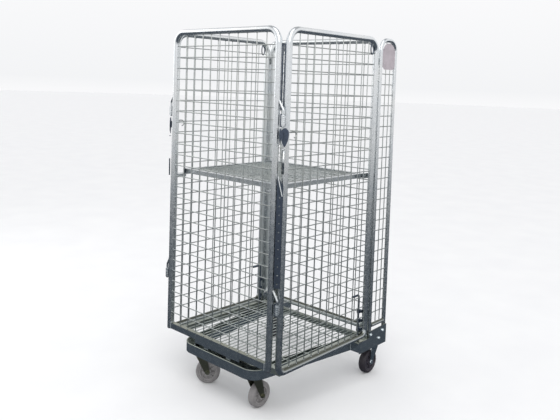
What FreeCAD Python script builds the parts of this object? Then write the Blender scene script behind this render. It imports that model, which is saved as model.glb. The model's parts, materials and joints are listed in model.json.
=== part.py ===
"""Roll cage container: wire mesh cage on a tapered steel chassis with four castors.

Frame: +Z up, floor at Z = 0, the origin is the centre of the footprint.
The fixed front panel faces -Y, the two side gates close the +X and -X sides.
Everything is in millimetres.
"""
import FreeCAD, Part
import math
import os

V = FreeCAD.Vector

# ---- overall sizes -----------------------------------------------------------
HEIGHT = 1680.0
DEPTH = 824.0
FRONT = -DEPTH / 2
REAR = DEPTH / 2

# ---- tubes and wires ---------------------------------------------------------
TUBE_R = 14.0
WING_TUBE_R = 10.0
TUBE_WALL = 1.5
WIRE_R = 2.3
TOP_BEND = 56.0
BOTTOM_BEND = 40.0
GATE_BOTTOM_BEND = 32.0
WING_BEND = 50.0

# ---- panels ------------------------------------------------------------------
PANEL_BOTTOM = 246.0
PANEL_RAIL_H = 28.0
PANEL_RAIL_DEPTH = 20.0
PANEL_RAIL_WALL = 2.0
TOP_TUBE_Z = HEIGHT - TUBE_R
BOTTOM_TUBE_Z = PANEL_BOTTOM + TUBE_R
FRONT_TUBE_X = 331.0
FRONT_TUBE_Y = FRONT + TUBE_R
FRONT_UPRIGHTS = 10
ROWS = 26

GATE_X = 361.0
GATE_FRONT_Y = -369.0
GATE_REAR_Y = 245.0
GATE_BOTTOM_Z = 232.0
GATE_UPRIGHTS = 11

BACK_TUBE_X = 338.0
BACK_Y = 278.0
BACK_UPRIGHTS = 11

WING_X = 367.0
WING_FRONT_Y = 278.0
WING_REAR_Y = REAR - WING_TUBE_R
WING_UPRIGHTS = 2
CLAMP_BOTTOMS = (320.0, 950.0, 1550.0)
LABEL_BOTTOM = 1528.0
LABEL_TOP = 1655.0
LABEL_ARCH = 37.0

# ---- gate hinges and latches -------------------------------------------------
HINGE_X = 366.0
HINGE_Y = -396.0
HINGE_SLEEVE_BOTTOMS = (491.0, 1277.0)
SLEEVE_H = 40.0
SLEEVE_R = 8.0
HINGE_PIN_R = 5.0
RUNNING_GAP = 0.06
BODY_GAP = 0.3
LEAF_TOP_Z = 1264.0
LEAF_TIP_Z = 1186.0
LEAF_WIDE_Z = 1240.0

BOLT_R = 5.0
BOLT_X = 338.0
BOLT_Y = 222.0
BOLT_TIP_Z = 222.0
BOLT_TOP_Z = 430.0
GUIDE_BOTTOMS = (252.0, 294.0, 340.0)
GUIDE_H = 18.0

# ---- chassis -----------------------------------------------------------------
CHASSIS_BOTTOM = 162.0
CHASSIS_TOP = 205.0
STEEL = 3.0
CHANNEL_W = 50.0
NOSE_HALF = 250.0
NOSE_FRONT_Y = -397.0
NOSE_BEND = 70.0
LEG_SPLAY = math.radians(8.5)
CROSSBAR_REAR_Y = -262.0
PAN_FRONT_Y = 184.0
PAN_REAR_Y = 410.0
PAN_INNER_X = 270.0
PAN_OUTER_X = 380.0
PAN_SILL_Z = 214.0
PAN_STEP_Y = 264.0
PAN_CREST_Z = 247.0

# ---- load deck and shelf -----------------------------------------------------
DECK_HALF = 343.0
DECK_FRONT_Y = -340.0
DECK_REAR_Y = 254.0
DECK_BOTTOM = CHASSIS_TOP + BODY_GAP
DECK_H = 25.0
DECK_AXIS_Y = -353.0
DECK_AXIS_Z = 219.0
DECK_BAR_R = 6.0
DECK_NOTCH_X = 328.0
DECK_NOTCH_Y = 190.0
SHELF_HALF = 312.0
SHELF_FRONT_Y = -352.0
SHELF_REAR_Y = 260.0
SHELF_BOTTOM = 1000.0
SHELF_H = 20.0
SHELF_AXIS_Y = 250.0
RAIL_W = 25.0
WIRE_PITCH = 26.0

# ---- castors -----------------------------------------------------------------
WHEEL_R = 57.5
WHEEL_W = 34.0
TYRE_T = 16.0
AXLE_R = 5.0
FORK_GAP = 21.0
FORK_T = 3.0
PLATE_T = 3.5
TRAIL = 36.0
FRONT_CASTOR_X = 180.0
FRONT_CASTOR_Y = -328.0
FRONT_CASTOR_TURN = {"right": 90.0, "left": 42.0}
FRONT_CROWN_HALF = 26.0
REAR_CASTOR_X = 318.0
REAR_CASTOR_Y = 382.0
REAR_CASTOR_TURN = -90.0
REAR_CROWN_HALF = 31.0
CASTOR_BOLT_X = 34.0
CASTOR_BOLT_Y = 11.0


def save(name, *solids):
    shape = solids[0] if len(solids) == 1 else Part.makeCompound(list(solids))
    shape.exportStep("parts/" + name + ".step")


def rod(start, end, radius):
    axis = end - start
    return Part.makeCylinder(radius, axis.Length, start, axis)


def block(x0, x1, y0, y1, z0, z1):
    return Part.makeBox(x1 - x0, y1 - y0, z1 - z0, V(x0, y0, z0))


def mirrored(shape):
    return shape.mirror(V(0, 0, 0), V(1, 0, 0))


def both_sides(shape):
    return [shape, mirrored(shape)]


def fused(shapes):
    result = shapes[0]
    for shape in shapes[1:]:
        result = result.fuse(shape)
    return result.removeSplitter()


# ---- bent tubes --------------------------------------------------------------
def bend(before, corner, after, radius):
    """Start, middle and end of the arc that rounds one corner of a path."""
    back = (before - corner).normalize()
    ahead = (after - corner).normalize()
    half = back.getAngle(ahead) / 2
    reach = radius / math.tan(half)
    bisector = (back + ahead).normalize()
    middle = corner + bisector * (radius / math.sin(half) - radius)
    return corner + back * reach, middle, corner + ahead * reach


def open_path(points, radii):
    """Straight runs through the points, each inner corner rounded by its radius."""
    edges = []
    last = points[0]
    for i in range(1, len(points) - 1):
        start, middle, end = bend(points[i - 1], points[i], points[i + 1], radii[i - 1])
        edges.append(Part.LineSegment(last, start).toShape())
        edges.append(Part.Arc(start, middle, end).toShape())
        last = end
    edges.append(Part.LineSegment(last, points[-1]).toShape())
    return Part.Wire(edges)


def swept(path, radius):
    first = path.OrderedEdges[0]
    start = first.valueAt(first.FirstParameter)
    along = first.tangentAt(first.FirstParameter)
    ring = Part.Wire([Part.Circle(start, along, radius).toShape()])
    return path.makePipeShell([ring], True, False)


def bent_tube(points, radii, radius):
    path = open_path(points, radii)
    return swept(path, radius).cut(swept(path, radius - TUBE_WALL))


def loop_tube(a, b, c, d, top_bend, bottom_bend, radius):
    """Closed tube frame: b and c are the top corners, a and d the bottom ones."""
    low = (a + d) * 0.5
    high = (b + c) * 0.5
    left = bent_tube([low, a, b, high], [bottom_bend, top_bend], radius)
    right = bent_tube([low, d, c, high], [bottom_bend, top_bend], radius)
    return fused([left, right])


# ---- wire mesh ---------------------------------------------------------------
def arc_loss(offset, inner_bend):
    """How much shorter a wire is where the frame's corner bend reaches it."""
    if offset >= inner_bend:
        return 0.0
    return inner_bend - math.sqrt(inner_bend**2 - (inner_bend - offset) ** 2) + 0.5


def mesh_wires(half, low, high, uprights, rows, bends, below=0.0):
    """Welded mesh in the XZ plane: uprights in one layer, rows in the next.

    The uprights reach `below` past the level that the rows are spaced from.
    """
    bottom_bend, top_bend = bends
    wires = []
    pitch = 2 * half / (uprights + 1)
    for i in range(1, uprights + 1):
        x = -half + i * pitch
        edge = half - abs(x)
        z0 = low - below + arc_loss(edge, bottom_bend)
        z1 = high - arc_loss(edge, top_bend)
        wires.append(rod(V(x, WIRE_R, z0), V(x, WIRE_R, z1), WIRE_R))
    step = (high - low) / (rows + 1)
    for i in range(1, rows + 1):
        z = low + i * step
        loss = max(arc_loss(z - low, bottom_bend), arc_loss(high - z, top_bend))
        reach = half - loss
        wires.append(rod(V(-reach, -WIRE_R, z), V(reach, -WIRE_R, z), WIRE_R))
    return wires


def placed(shape, x, y, turn):
    copy = shape.copy()
    spin = FreeCAD.Rotation(V(0, 0, 1), turn)
    copy.Placement = FreeCAD.Placement(V(x, y, 0), spin).multiply(copy.Placement)
    return copy


# ---- front panel -------------------------------------------------------------
def front_panel():
    x = FRONT_TUBE_X
    y = FRONT_TUBE_Y
    points = [V(-x, y, PANEL_BOTTOM), V(-x, y, TOP_TUBE_Z)]
    points += [V(x, y, TOP_TUBE_Z), V(x, y, PANEL_BOTTOM)]
    save("front_panel_frame", bent_tube(points, [TOP_BEND, TOP_BEND], TUBE_R))

    rail_y = PANEL_RAIL_DEPTH / 2
    rail_top = PANEL_BOTTOM + PANEL_RAIL_H
    wall = PANEL_RAIL_WALL
    rail = block(-x, x, y - rail_y, y + rail_y, PANEL_BOTTOM, rail_top)
    inside = block(-x, x, y - rail_y + wall, y + rail_y - wall, PANEL_BOTTOM + wall, rail_top - wall)
    rail = rail.cut(inside)
    for side in (-x, x):
        rail = rail.cut(rod(V(side, y, PANEL_BOTTOM), V(side, y, rail_top), TUBE_R))
    save("front_panel_rail", rail)

    half = x - TUBE_R
    inner = TOP_BEND - TUBE_R
    high = TOP_TUBE_Z - TUBE_R
    wires = mesh_wires(half, rail_top, high, FRONT_UPRIGHTS, ROWS, (0, inner))
    save("front_panel_mesh", *[placed(w, 0, y, 0) for w in wires])

    lip_y = NOSE_FRONT_Y + STEEL + 1
    lip = block(-150, 150, lip_y, lip_y + 4, PANEL_BOTTOM - 25, PANEL_BOTTOM)
    floor_z = CHASSIS_BOTTOM + STEEL
    feet = both_sides(block(60, 90, lip_y + 4, lip_y + 12, floor_z, PANEL_BOTTOM - 6))
    save("front_panel_bracket", fused([lip] + feet))


# ---- side gates --------------------------------------------------------------
def gate_parts():
    """Right-hand gate pieces by name, each a list of solids."""
    front = V(GATE_X, GATE_FRONT_Y, 0)
    rear = V(GATE_X, GATE_REAR_Y, 0)
    low = V(0, 0, GATE_BOTTOM_Z)
    high = V(0, 0, TOP_TUBE_Z)
    corners = (front + low, front + high, rear + high, rear + low)
    frame = loop_tube(*corners, TOP_BEND, GATE_BOTTOM_BEND, TUBE_R)
    half = (GATE_REAR_Y - GATE_FRONT_Y) / 2 - TUBE_R
    bends = (GATE_BOTTOM_BEND - TUBE_R, TOP_BEND - TUBE_R)
    z0 = BOTTOM_TUBE_Z + TUBE_R
    z1 = TOP_TUBE_Z - TUBE_R
    below = BOTTOM_TUBE_Z - GATE_BOTTOM_Z
    wires = mesh_wires(half, z0, z1, GATE_UPRIGHTS, ROWS, bends, below)
    middle_y = (GATE_REAR_Y + GATE_FRONT_Y) / 2
    mesh = [placed(w, GATE_X, middle_y, -90) for w in wires]
    return {
        "gate_frame": [frame],
        "gate_mesh": mesh,
        "gate_hinge_sleeves": gate_sleeves(),
        "gate_hinge_leaf": [gate_leaf()],
        "gate_bolt_guides": gate_guides(),
        "gate_bolt": [gate_bolt()],
    }


def gate_sleeves():
    axis = V(HINGE_X, HINGE_Y, 0)
    post = rod(V(GATE_X, GATE_FRONT_Y, 400), V(GATE_X, GATE_FRONT_Y, 1400), TUBE_R)
    sleeves = []
    for z in HINGE_SLEEVE_BOTTOMS:
        outer = rod(axis + V(0, 0, z), axis + V(0, 0, z + SLEEVE_H), SLEEVE_R)
        lug = block(
            HINGE_X - 6, HINGE_X + 2, HINGE_Y + 2, GATE_FRONT_Y, z + 4, z + SLEEVE_H - 4
        )
        bore_r = HINGE_PIN_R + RUNNING_GAP
        bore = rod(axis + V(0, 0, z - 5), axis + V(0, 0, z + SLEEVE_H + 5), bore_r)
        sleeves.append(outer.fuse(lug).cut(bore).cut(post))
    return sleeves


def gate_leaf():
    """Leaf-shaped lift stop that hangs from the gate's front tube by the upper hinge."""
    half_w = 17.0
    right = V(half_w, 0, LEAF_WIDE_Z)
    left = V(-half_w, 0, LEAF_WIDE_Z)
    top = V(0, 0, LEAF_TOP_Z)
    tip = V(0, 0, LEAF_TIP_Z)
    edges = [
        Part.Arc(left, V(-11, 0, LEAF_TOP_Z - 6), top).toShape(),
        Part.Arc(top, V(11, 0, LEAF_TOP_Z - 6), right).toShape(),
        Part.Arc(right, V(13, 0, LEAF_TIP_Z + 26), tip).toShape(),
        Part.Arc(tip, V(-13, 0, LEAF_TIP_Z + 26), left).toShape(),
    ]
    face = Part.Face(Part.Wire(edges))
    leaf = placed(face.extrude(V(0, 2.5, 0)), HINGE_X + 8, HINGE_Y + 4, 45)
    tab_z = LEAF_WIDE_Z - 25
    tab = block(HINGE_X + 1, HINGE_X + 7, HINGE_Y - 1, GATE_FRONT_Y, tab_z, tab_z + 30)
    post = rod(V(GATE_X, GATE_FRONT_Y, LEAF_TIP_Z), V(GATE_X, GATE_FRONT_Y, LEAF_TOP_Z), TUBE_R)
    return leaf.fuse(tab).cut(post)


def gate_guides():
    """Three short guide tubes that carry the drop bolt inside the rear tube."""
    corner = V(GATE_X, GATE_REAR_Y, GATE_BOTTOM_Z)
    bend_radii = [GATE_BOTTOM_BEND]
    path = open_path([corner - V(0, 200, 0), corner, corner + V(0, 0, 300)], bend_radii)
    frame_corner = swept(path, TUBE_R)
    guides = []
    for z in GUIDE_BOTTOMS:
        foot = V(BOLT_X, BOLT_Y, z)
        outer = rod(foot, foot + V(0, 0, GUIDE_H), BOLT_R + 3)
        lug = block(BOLT_X - 2, GATE_X - 9, BOLT_Y + 2, GATE_REAR_Y - 6, z + 3, z + 15)
        bore = rod(foot - V(0, 0, 2), foot + V(0, 0, GUIDE_H + 2), BOLT_R + RUNNING_GAP)
        guides.append(outer.fuse(lug).cut(bore).cut(frame_corner))
    return guides


def gate_bolt():
    """Drop bolt: an upright rod with a chamfered tip and a bent handle."""
    tip = Part.makeCone(
        BOLT_R - 2, BOLT_R, 4, V(BOLT_X, BOLT_Y, BOLT_TIP_Z), V(0, 0, 1)
    )
    corner = V(BOLT_X, BOLT_Y, BOLT_TOP_Z)
    start = V(BOLT_X, BOLT_Y, BOLT_TIP_Z + 4)
    path = open_path([start, corner, corner - V(0, 55, 0)], [12.0])
    return tip.fuse(swept(path, BOLT_R))


def gates():
    for name, solids in gate_parts().items():
        save(name + "_right", *solids)
        save(name + "_left", *[mirrored(s) for s in solids])


def hinge_pins():
    """Bent rods welded to the front panel; a collar under each sleeve carries the gate."""
    pins = []
    post = rod(V(FRONT_TUBE_X, FRONT_TUBE_Y, 400), V(FRONT_TUBE_X, FRONT_TUBE_Y, 1500), TUBE_R)
    for z in HINGE_SLEEVE_BOTTOMS:
        weld = V(FRONT_TUBE_X + TUBE_R - 2, FRONT_TUBE_Y, z + SLEEVE_H + 58)
        knee = V(HINGE_X, HINGE_Y, z + SLEEVE_H + 20)
        end = V(HINGE_X, HINGE_Y, z - 8)
        shank = swept(open_path([weld, knee, end], [14.0]), HINGE_PIN_R)
        collar_top = z - BODY_GAP
        collar = rod(
            V(HINGE_X, HINGE_Y, collar_top - 3), V(HINGE_X, HINGE_Y, collar_top), SLEEVE_R
        )
        pins += both_sides(shank.fuse(collar).cut(post))
    save("gate_hinge_pins", *pins)


# ---- back panel and wings ----------------------------------------------------
def back_panel():
    x = BACK_TUBE_X
    low = V(0, BACK_Y, BOTTOM_TUBE_Z)
    high = V(0, BACK_Y, TOP_TUBE_Z)
    side = V(x, 0, 0)
    frame = loop_tube(
        low - side, high - side, high + side, low + side, TOP_BEND, BOTTOM_BEND, TUBE_R
    )
    save("back_panel_frame", frame)
    bends = (BOTTOM_BEND - TUBE_R, TOP_BEND - TUBE_R)
    z0 = BOTTOM_TUBE_Z + TUBE_R
    z1 = TOP_TUBE_Z - TUBE_R
    wires = mesh_wires(x - TUBE_R, z0, z1, BACK_UPRIGHTS, ROWS, bends)
    save("back_panel_mesh", *[placed(w, 0, BACK_Y, 0) for w in wires])


def clamps():
    """Saddle blocks between the back panel's tubes and the wing posts, each with a bolt."""
    blocks = []
    bolts = []
    front = BACK_Y - TUBE_R - 2
    back = BACK_Y + TUBE_R + 2
    middle_x = (BACK_TUBE_X + TUBE_R + WING_X - WING_TUBE_R) / 2
    panel_tube = rod(V(BACK_TUBE_X, BACK_Y, 300), V(BACK_TUBE_X, BACK_Y, 1600), TUBE_R)
    post = rod(V(WING_X, WING_FRONT_Y, 300), V(WING_X, WING_FRONT_Y, 1600), WING_TUBE_R)
    for z in CLAMP_BOTTOMS:
        saddle = block(BACK_TUBE_X, middle_x + 7, front, back, z, z + 30)
        start = V(middle_x, front, z + 15)
        hole = rod(start, start + V(0, 60, 0), 2.0)
        blocks += both_sides(saddle.cut(panel_tube).cut(post).cut(hole))
        shank = rod(start, V(middle_x, back + 4, z + 15), 2.0)
        head = rod(V(middle_x, back, z + 15), V(middle_x, back + 4, z + 15), 5.0)
        bolts += both_sides(fused([shank, head]))
    save("panel_clamps", *blocks)
    save("clamp_bolts", *bolts)


def wings():
    floor_z = CHASSIS_BOTTOM + STEEL
    top = HEIGHT - WING_TUBE_R
    points = [V(WING_X, WING_FRONT_Y, floor_z), V(WING_X, WING_FRONT_Y, top)]
    points += [V(WING_X, WING_REAR_Y, top), V(WING_X, WING_REAR_Y, floor_z)]
    arch = bent_tube(points, [WING_BEND, WING_BEND], WING_TUBE_R)
    foot_z = PANEL_BOTTOM + WING_TUBE_R + 14
    y0 = WING_FRONT_Y + WING_TUBE_R
    y1 = WING_REAR_Y - WING_TUBE_R
    foot = rod(V(WING_X, y0, foot_z), V(WING_X, y1, foot_z), WING_TUBE_R)
    foot = foot.cut(rod(V(WING_X, y0, foot_z), V(WING_X, y1, foot_z), WING_TUBE_R - TUBE_WALL))
    for side, solids in (("right", [arch, foot]), ("left", [mirrored(arch), mirrored(foot)])):
        save("wing_frame_" + side, *solids)

    half = (y1 - y0) / 2
    low = foot_z + WING_TUBE_R
    high = top - WING_TUBE_R
    wires = mesh_wires(half, low, high, WING_UPRIGHTS, ROWS, (0, WING_BEND - WING_TUBE_R))
    mesh = [placed(w, WING_X, (y0 + y1) / 2, -90) for w in wires]
    save("wing_mesh_right", *mesh)
    save("wing_mesh_left", *[mirrored(w) for w in mesh])


def label_plate():
    """Blank plate on the right wing, with cut lower corners and a curved top."""
    x = WING_X + 2 * WIRE_R
    y0 = WING_FRONT_Y + 9
    y1 = WING_REAR_Y - 9
    middle = (y0 + y1) / 2
    low = LABEL_BOTTOM
    high = LABEL_TOP
    cut = 16.0
    shoulder = high - LABEL_ARCH
    corners = [V(x, y0 + cut, low), V(x, y1 - cut, low), V(x, y1, low + cut), V(x, y1, shoulder)]
    edges = [Part.LineSegment(a, b).toShape() for a, b in zip(corners, corners[1:])]
    left_top = V(x, y0, shoulder)
    left_low = V(x, y0, low + cut)
    edges.append(Part.Arc(corners[-1], V(x, middle, high), left_top).toShape())
    edges.append(Part.LineSegment(left_top, left_low).toShape())
    edges.append(Part.LineSegment(left_low, corners[0]).toShape())
    save("label_plate", Part.Face(Part.Wire(edges)).extrude(V(1.5, 0, 0)))


# ---- chassis -----------------------------------------------------------------
def strip(edge_in, edge_out, z0, z1):
    """Upright wall or floor of the nose between two distances in from its outline."""
    turn = math.pi / 2 - LEG_SPLAY
    centre_y = NOSE_FRONT_Y + NOSE_BEND
    centre_x = NOSE_HALF - NOSE_BEND

    def outline(inset):
        r = NOSE_BEND - inset
        start = V(centre_x, centre_y - r, z0)
        angle = turn / 2
        middle = V(centre_x + r * math.sin(angle), centre_y - r * math.cos(angle), z0)
        end = V(centre_x + r * math.sin(turn), centre_y - r * math.cos(turn), z0)
        return start, middle, end

    def flip(point):
        return V(-point.x, point.y, point.z)

    s0, m0, e0 = outline(edge_in)
    s1, m1, e1 = outline(edge_out)
    edges = [
        Part.LineSegment(flip(s0), s0).toShape(),
        Part.Arc(s0, m0, e0).toShape(),
        Part.LineSegment(e0, e1).toShape(),
        Part.Arc(e1, m1, s1).toShape(),
        Part.LineSegment(s1, flip(s1)).toShape(),
        Part.Arc(flip(s1), flip(m1), flip(e1)).toShape(),
        Part.LineSegment(flip(e1), flip(e0)).toShape(),
        Part.Arc(flip(e0), flip(m0), flip(s0)).toShape(),
    ]
    return Part.Face(Part.Wire(edges)).extrude(V(0, 0, z1 - z0))


def nose():
    """Bent channel, open at the top, that carries the front panel."""
    floor = strip(0, CHANNEL_W, CHASSIS_BOTTOM, CHASSIS_BOTTOM + STEEL)
    outer = strip(0, STEEL, CHASSIS_BOTTOM, CHASSIS_TOP)
    inner = strip(CHANNEL_W - STEEL, CHANNEL_W, CHASSIS_BOTTOM, CHASSIS_TOP)
    return fused([floor, outer, inner])


def leg_origin():
    """Outer corner where the nose's bend ends and the leg begins."""
    turn = math.pi / 2 - LEG_SPLAY
    x = NOSE_HALF - NOSE_BEND + NOSE_BEND * math.sin(turn)
    y = NOSE_FRONT_Y + NOSE_BEND - NOSE_BEND * math.cos(turn)
    return x, y


def leg_shape():
    """Splayed channel from the nose back to the front wall of the rear pan."""
    x, y = leg_origin()
    length = (PAN_FRONT_Y - y) / math.cos(LEG_SPLAY) + 20
    floor = block(-CHANNEL_W, 0, 0, length, CHASSIS_BOTTOM, CHASSIS_BOTTOM + STEEL)
    outer = block(-STEEL, 0, 0, length, CHASSIS_BOTTOM, CHASSIS_TOP)
    inner = block(-CHANNEL_W, -CHANNEL_W + STEEL, 0, length, CHASSIS_BOTTOM, CHASSIS_TOP)
    leg = placed(fused([floor, outer, inner]), x, y, -math.degrees(LEG_SPLAY))
    return leg.cut(block(0, 500, PAN_FRONT_Y, PAN_FRONT_Y + 100, 0, 400))


def leg_volume():
    """The whole space inside the leg's channel, to trim the crossbar against it."""
    x, y = leg_origin()
    space = block(-CHANNEL_W, 300, -1, 900, 0, 400)
    return placed(space, x, y, -math.degrees(LEG_SPLAY))


def crossbar():
    """Channel behind the nose, between the legs, that the front castors bolt to."""
    front_y = NOSE_FRONT_Y + CHANNEL_W
    reach = NOSE_HALF - 35
    top = CHASSIS_BOTTOM + STEEL
    floor = block(-reach, reach, front_y, CROSSBAR_REAR_Y, CHASSIS_BOTTOM, top)
    lip_y = CROSSBAR_REAR_Y - STEEL
    lip = block(-reach, reach, lip_y, CROSSBAR_REAR_Y, CHASSIS_BOTTOM, CHASSIS_BOTTOM + 30)
    shape = fused([floor, lip]).cut(strip(0, CHANNEL_W, 100, 300))
    return shape.cut(leg_volume()).cut(mirrored(leg_volume()))


def pan_shape():
    """Pressed housing at the leg's end: it carries the wing and the rear castor."""
    inner_x = PAN_INNER_X
    outer_x = PAN_OUTER_X
    y0 = PAN_FRONT_Y
    y1 = PAN_REAR_Y
    low = CHASSIS_BOTTOM
    walls = [
        block(inner_x, outer_x, y0, y1, low, low + STEEL),
        block(inner_x, outer_x, y0, y0 + STEEL, low, CHASSIS_TOP),
        block(inner_x, inner_x + STEEL, y0, y1, low, CHASSIS_TOP),
        block(inner_x, outer_x, y1 - STEEL, y1, low, low + 16),
    ]
    skirt = low - 5
    outline = [(y0, skirt), (y1, skirt), (y1, PAN_CREST_Z + 5), (PAN_STEP_Y, PAN_CREST_Z)]
    outline += [(PAN_STEP_Y, PAN_SILL_Z), (y0, PAN_SILL_Z)]
    corners = [V(outer_x, y, z) for y, z in outline]
    plate = Part.Face(Part.makePolygon(corners + corners[:1])).extrude(V(-STEEL, 0, 0))
    post = rod(V(WING_X, WING_REAR_Y, low), V(WING_X, WING_REAR_Y, 300), WING_TUBE_R)
    socket = post.cut(block(0, 500, 0, 500, 0, low + STEEL))
    return fused(walls + [plate]).cut(socket)


def bolt_keepers():
    """Slotted ledge on each pan's outer wall that the drop bolt falls into."""
    low = CHASSIS_TOP - STEEL
    ledge = block(
        BOLT_X - 12, PAN_OUTER_X - STEEL, BOLT_Y - 17, BOLT_Y + 18, low, CHASSIS_TOP
    )
    slot_half = BOLT_R + 1.5
    slot = block(
        BOLT_X - slot_half, BOLT_X + slot_half, BOLT_Y - 18, BOLT_Y + 10, low, CHASSIS_TOP
    )
    save("bolt_keepers", *both_sides(ledge.cut(slot)))


def chassis():
    leg = leg_shape()
    bar = crossbar()
    bow = nose()
    for side in (1, -1):
        for hole in castor_holes(side * FRONT_CASTOR_X, FRONT_CASTOR_Y):
            bar = bar.cut(hole)
            bow = bow.cut(hole)
    for hole in castor_holes(FRONT_CASTOR_X, FRONT_CASTOR_Y):
        leg = leg.cut(hole)
    pan = pan_shape()
    for hole in castor_holes(REAR_CASTOR_X, REAR_CASTOR_Y):
        pan = pan.cut(hole)
    save("chassis_nose", bow)
    save("chassis_crossbar", bar)
    save("chassis_leg_right", leg)
    save("chassis_leg_left", mirrored(leg))
    save("rear_pan_right", pan)
    save("rear_pan_left", mirrored(pan))


# ---- load deck and shelf -----------------------------------------------------
def ring(half, y0, y1, z0, z1, width):
    """Rectangular frame of the given width, open in the middle."""
    outer = block(-half, half, y0, y1, z0, z1)
    window = block(-half + width, half - width, y0 + width, y1 - width, z0 - 1, z1 + 1)
    return outer.cut(window)


def tray_frame(half, y0, y1, z0, height):
    """Angle frame: upright outer leg all round with a flat leg along its top."""
    top = z0 + height
    skirt = ring(half, y0, y1, z0, top, STEEL)
    flat = ring(half, y0, y1, top - STEEL, top, RAIL_W)
    return fused([skirt, flat])


def tray_wires(half, y0, y1, top, inset, crossings):
    """Close wires along Y just below the frame's flat top, on a few cross wires."""
    wires = []
    inner = half - inset
    count = int(2 * (inner - 10) / WIRE_PITCH)
    first = -count * WIRE_PITCH / 2
    z = top - STEEL - WIRE_R
    for i in range(count + 1):
        x = first + i * WIRE_PITCH
        wires.append(rod(V(x, y0 + inset, z), V(x, y1 - inset, z), WIRE_R))
    z -= 2 * WIRE_R
    step = (y1 - y0) / (crossings + 1)
    for i in range(1, crossings + 1):
        y = y0 + i * step
        wires.append(rod(V(-inner, y, z), V(inner, y, z), WIRE_R))
    return wires


def deck():
    top = DECK_BOTTOM + DECK_H
    frame = tray_frame(DECK_HALF, DECK_FRONT_Y, DECK_REAR_Y, DECK_BOTTOM, DECK_H)
    inset = RAIL_W - STEEL
    inner_y = (DECK_FRONT_Y + inset, DECK_REAR_Y - inset)
    inner_web = ring(DECK_HALF - inset, *inner_y, DECK_BOTTOM, top, STEEL)
    frame = fused([frame, inner_web])
    notch = block(DECK_NOTCH_X, DECK_HALF, DECK_NOTCH_Y, DECK_REAR_Y, DECK_BOTTOM, top)
    for corner in both_sides(notch):
        frame = frame.cut(corner)
    save("deck_frame", frame)
    save("deck_mesh", *tray_wires(DECK_HALF, DECK_FRONT_Y, DECK_REAR_Y, top, RAIL_W, 4))

    axis = V(0, DECK_AXIS_Y, DECK_AXIS_Z)
    sleeves = []
    for x in (-140, -60, 60, 140):
        start = axis + V(x - 20, 0, 0)
        end = axis + V(x + 20, 0, 0)
        outer = rod(start, end, DECK_BAR_R + 4)
        lug_z = DECK_AXIS_Z - 8
        lug = block(x - 20, x + 20, DECK_AXIS_Y + 4, DECK_FRONT_Y, lug_z, lug_z + 16)
        sleeves.append(outer.fuse(lug).cut(rod(start, end, DECK_BAR_R + RUNNING_GAP)))
    save("deck_hinge_sleeves", *sleeves)

    bar = rod(axis + V(-175, 0, 0), axis + V(175, 0, 0), DECK_BAR_R)
    flange_y = NOSE_FRONT_Y + CHANNEL_W - STEEL
    pieces = [bar]
    for x in (-172, -105, 0, 105, 172):
        cheek_z = CHASSIS_BOTTOM + 20
        cheek = block(x - 3, x + 3, flange_y - 20, DECK_AXIS_Y + 6, cheek_z, DECK_AXIS_Z + 7)
        pieces.append(cheek)
    flange = strip(CHANNEL_W - STEEL, CHANNEL_W, CHASSIS_BOTTOM, CHASSIS_TOP)
    hinge_bar = fused(pieces).cut(flange)
    save("deck_hinge_bar", hinge_bar)


def shelf():
    top = SHELF_BOTTOM + SHELF_H
    frame = tray_frame(SHELF_HALF, SHELF_FRONT_Y, SHELF_REAR_Y, SHELF_BOTTOM, SHELF_H)
    save("shelf_frame", frame)
    save("shelf_mesh", *tray_wires(SHELF_HALF, SHELF_FRONT_Y, SHELF_REAR_Y, top, STEEL, 5))

    axis_z = SHELF_BOTTOM + SHELF_H / 2
    axis = V(0, SHELF_AXIS_Y, axis_z)
    pin = rod(axis + V(SHELF_HALF, 0, 0), axis + V(SHELF_HALF + 13, 0, 0), 5.0)
    save("shelf_pins", *both_sides(pin))

    post = rod(V(BACK_TUBE_X, BACK_Y, 900), V(BACK_TUBE_X, BACK_Y, 1100), TUBE_R)
    ear = block(SHELF_HALF + 4, SHELF_HALF + 12, SHELF_AXIS_Y - 12, BACK_Y, axis_z - 12, axis_z + 12)
    hook = block(SHELF_HALF + 4, BACK_TUBE_X, BACK_Y - 8, BACK_Y + 2, axis_z - 12, axis_z + 12)
    hole = rod(axis, axis + V(SHELF_HALF + 40, 0, 0), 5.0 + RUNNING_GAP)
    save("shelf_hinge_ears", *both_sides(ear.fuse(hook).cut(post).cut(hole)))

    front_post = rod(
        V(FRONT_TUBE_X, FRONT_TUBE_Y, 900), V(FRONT_TUBE_X, FRONT_TUBE_Y, 1100), TUBE_R
    )
    ledge_z = SHELF_BOTTOM - BODY_GAP
    ledge = block(286, 326, FRONT_TUBE_Y - 4, SHELF_FRONT_Y + 22, ledge_z - 4, ledge_z)
    wall = block(322, 326, FRONT_TUBE_Y - 4, SHELF_FRONT_Y + 22, ledge_z - 22, ledge_z)
    save("shelf_rests", *both_sides(ledge.fuse(wall).cut(front_post)))


# ---- castors -----------------------------------------------------------------
def bolt_places(x, y):
    """Centres of the four bolts that hold a castor's top plate."""
    places = []
    for sx in (-CASTOR_BOLT_X, CASTOR_BOLT_X):
        for sy in (-CASTOR_BOLT_Y, CASTOR_BOLT_Y):
            places.append(V(x + sx, y + sy, CHASSIS_BOTTOM))
    return places


def castor_holes(x, y):
    up = V(0, 0, 15)
    return [rod(place - up, place + up, 4.0) for place in bolt_places(x, y)]


def castor_bolts(x, y):
    """Hexagon bolts through the castor plate, with a nut inside the chassis."""
    bolts = []
    for place in bolt_places(x, y):
        plate_low = place - V(0, 0, PLATE_T)
        shank = rod(plate_low - V(0, 0, 4), plate_low + V(0, 0, 18), 4.0)
        head = hexagon(plate_low - V(0, 0, 5), 6.5, 5.0)
        nut = hexagon(place + V(0, 0, STEEL), 6.5, 6.0)
        bolts.append(fused([shank, head, nut]))
    return bolts


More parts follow.
